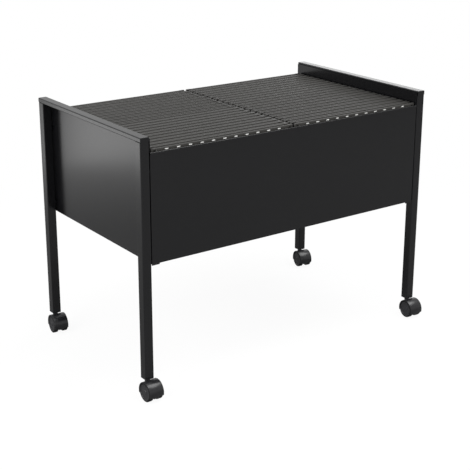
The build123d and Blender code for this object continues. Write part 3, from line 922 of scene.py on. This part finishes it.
bpy.ops.object.select_all(action="DESELECT")
bpy.ops.mesh.primitive_plane_add(size=60.0, location=(0, 0, 0))
floor = bpy.context.object
floor.name = "floor"
floor_finish, tree, shader = new_material("white_floor")
rays = add(tree, "ShaderNodeLightPath")
# glossy rays see the floor at a dimmer painted tone, a painted dark reflection in the lacquer
unseen = add(tree, "ShaderNodeMapRange",
             {"Value": rays.outputs["Is Glossy Ray"], "To Min": FLOOR_TONE,
              "To Max": FLOOR_PAINTED_DIM_REFLECTION})
tones = add(tree, "ShaderNodeMix",
            {"Factor": rays.outputs["Is Camera Ray"], MIX_A: unseen.outputs["Result"],
             MIX_B: (FLOOR_SEEN, FLOOR_SEEN, FLOOR_SEEN, 1)}, data_type="RGBA")
tree.links.new(tones.outputs[MIX_OUT], shader.inputs["Base Color"])
shader.inputs["Roughness"].default_value = 1.0
shader.inputs["Specular IOR Level"].default_value = 0.0
place = add(tree, "ShaderNodeTexCoord").outputs["Object"]
away = add(tree, "ShaderNodeVectorMath", {0: place}, operation="LENGTH").outputs["Value"]
white = add(tree, "ShaderNodeMapRange",
            {"Value": away, "From Min": SHADOW_NEAR, "From Max": SHADOW_FAR, "To Min": WHITE_NEAR})
seen = add(tree, "ShaderNodeMath",
           {0: white.outputs["Result"], 1: rays.outputs["Is Camera Ray"]}, operation="MULTIPLY")
print("floor", [round(size) for size in floor.dimensions[:2]], "m")

# %% [markdown]
# Black lacquer shows little but its surroundings, and these have their own values. They hold a
# painted reflection: the floor close by is painted dim in the lacquer, and its mirrored white is
# painted to grow from near to far, more so towards the rear left than towards the front.

# %% Painted reflection of the floor in the lacquer, and the sky
WHITE = (1, 1, 1, 1)
PAINTED_REFLECTION_NEAR, PAINTED_REFLECTION_FAR = 1.0, 1.9      # metres between which the painted reflection's white grows
PAINTED_REFLECTION_WAY = (-0.7, 0.7, 0.0)          # towards the rear left
PAINTED_REFLECTION_REACH = 0.6                     # how far along that way it still changes
PAINTED_REFLECTION_FRONT, PAINTED_REFLECTION_REAR = 0.08, 0.64  # how much it grows by there
PAINTED_REFLECTION_LEAST = 0.12
SKY_LIGHT = 0.30
SKY_MIRRORED = 0.74

# painted reflection: glossy rays see the floor whiter with distance, most towards the rear left,
# though no lamp or backdrop there gives it
far = add(tree, "ShaderNodeMapRange",
          {"Value": away, "From Min": PAINTED_REFLECTION_NEAR, "From Max": PAINTED_REFLECTION_FAR},
          interpolation_type="SMOOTHSTEP")
rearward = add(tree, "ShaderNodeVectorMath", {0: place, 1: PAINTED_REFLECTION_WAY}, operation="DOT_PRODUCT")
sided = add(tree, "ShaderNodeMapRange",
            {"Value": rearward.outputs["Value"], "From Min": -PAINTED_REFLECTION_REACH, "From Max": PAINTED_REFLECTION_REACH,
             "To Min": PAINTED_REFLECTION_FRONT, "To Max": PAINTED_REFLECTION_REAR})
grown = add(tree, "ShaderNodeMath",
            {0: far.outputs["Result"], 1: sided.outputs["Result"]}, operation="MULTIPLY")
painted_reflection = add(tree, "ShaderNodeMath", {0: grown.outputs[0], 1: PAINTED_REFLECTION_LEAST}, operation="ADD")
mirrored = add(tree, "ShaderNodeMath",
               {0: painted_reflection.outputs[0], 1: rays.outputs["Is Glossy Ray"]}, operation="MULTIPLY")
either = add(tree, "ShaderNodeMath",
             {0: seen.outputs[0], 1: mirrored.outputs[0]}, operation="MAXIMUM")
share = add(tree, "ShaderNodeMath",
            {0: either.outputs[0], 1: rays.outputs["Is Transmission Ray"]}, operation="MAXIMUM")
glow = add(tree, "ShaderNodeEmission", {"Color": WHITE, "Strength": 1.0})
both = add(tree, "ShaderNodeMixShader",
           {0: share.outputs[0], 1: shader.outputs["BSDF"], 2: glow.outputs["Emission"]})
tree.links.new(both.outputs["Shader"], tree.nodes["Material Output"].inputs["Surface"])
floor.data.materials.append(floor_finish)

sky = bpy.data.worlds.new("pale_sky")
bpy.context.scene.world = sky
sky.use_nodes = True
tree = sky.node_tree
tree.nodes.clear()
rays = add(tree, "ShaderNodeLightPath")
straight = add(tree, "ShaderNodeMath",
               {0: rays.outputs["Is Camera Ray"], 1: rays.outputs["Is Transmission Ray"]},
               operation="MAXIMUM")
shine = add(tree, "ShaderNodeMath",
            {0: rays.outputs["Is Glossy Ray"], 1: SKY_MIRRORED}, operation="MULTIPLY")
most = add(tree, "ShaderNodeMath",
           {0: straight.outputs[0], 1: shine.outputs[0]}, operation="MAXIMUM")
strength = add(tree, "ShaderNodeMath", {0: most.outputs[0], 1: SKY_LIGHT}, operation="MAXIMUM")
glow = add(tree, "ShaderNodeBackground", {"Color": WHITE, "Strength": strength.outputs[0]})
add(tree, "ShaderNodeOutputWorld", {"Surface": glow.outputs["Background"]})
print("floor and sky", floor.name, sky.name)

# %% [markdown]
# ## Lamps
# Five soft lamps stand outside the picture. The key lamp is at the left and another hangs above.
# A large one in front lights the white index strips and is kept out of the lacquer. Two small
# lamps do the opposite: they hardly light anything, but the left panel mirrors one of them near
# its top edge and the top of the right rail mirrors the other.

# %% Lamps


def lamp(name, place, aim, width, height, power):
    """A soft lamp that shines from place towards aim, hidden from the camera."""
    light = bpy.data.lights.new(name, "AREA")
    light.shape = "RECTANGLE"
    light.size = width
    light.size_y = height
    light.energy = power
    holder = bpy.data.objects.new(name, light)
    bpy.context.collection.objects.link(holder)
    holder.location = place
    holder.rotation_euler = (Vector(aim) - Vector(place)).to_track_quat("-Z", "Y").to_euler()
    holder.visible_camera = False
    return holder


lamp("key_left", (-3.2, -0.4, 2.6), (-0.2, 0.0, 0.35), width=2.2, height=2.2, power=100)
lamp("fill_top", (0.9, -0.7, 3.2), (0.0, 0.0, 0.4), width=2.5, height=2.5, power=100)
lamp("low_left", (-0.92, 0.68, 0.30), (-0.353, -0.2, 0.45), width=0.5, height=0.2, power=0.47)
lamp("back_right", (2.4, 2.3, 1.15), (0.36, 0.0, 0.55), width=1.0, height=0.5, power=2.5)
fill_front = lamp("fill_front", (-1.2, -3.6, 1.7), (0.0, 0.0, 0.4),
                  width=3.0, height=2.0, power=80)
fill_front.visible_glossy = False
print("lamps", len(bpy.data.lights))

# %% [markdown]
# ## Camera
# The lens, the place and the turn come from matching the legs' corners with the photograph. The
# photograph was taken with a lens shift to keep the legs upright; a small shift keeps some of
# that.

# %% Camera
IMAGE = 470                  # pixels on a side of the photograph
FOCAL = 1096.0               # focal length in such pixels
SHIFT = 0.08                 # share of the image's width
YAW = 35.79                  # degrees
PITCH = 17.73
ROLL = 0.19
EYE = (-1400.0, -1944.0, 1074.0)      # millimetres

view = bpy.data.cameras.new("camera")
view.sensor_width = 36.0
view.lens = FOCAL / IMAGE * view.sensor_width
view.shift_y = -SHIFT
view.clip_end = 100.0
camera = bpy.data.objects.new("camera", view)
bpy.context.collection.objects.link(camera)
pan = Matrix.Rotation(-math.radians(YAW), 4, "Z")
tilt = Matrix.Rotation(math.radians(90 - PITCH), 4, "X")
roll = Matrix.Rotation(math.radians(ROLL), 4, "Z")
camera.matrix_world = Matrix.Translation([v * MM for v in EYE]) @ pan @ tilt @ roll
bpy.context.scene.camera = camera
bpy.context.scene.view_settings.view_transform = "Standard"
print("lens", round(view.lens, 1), "mm")
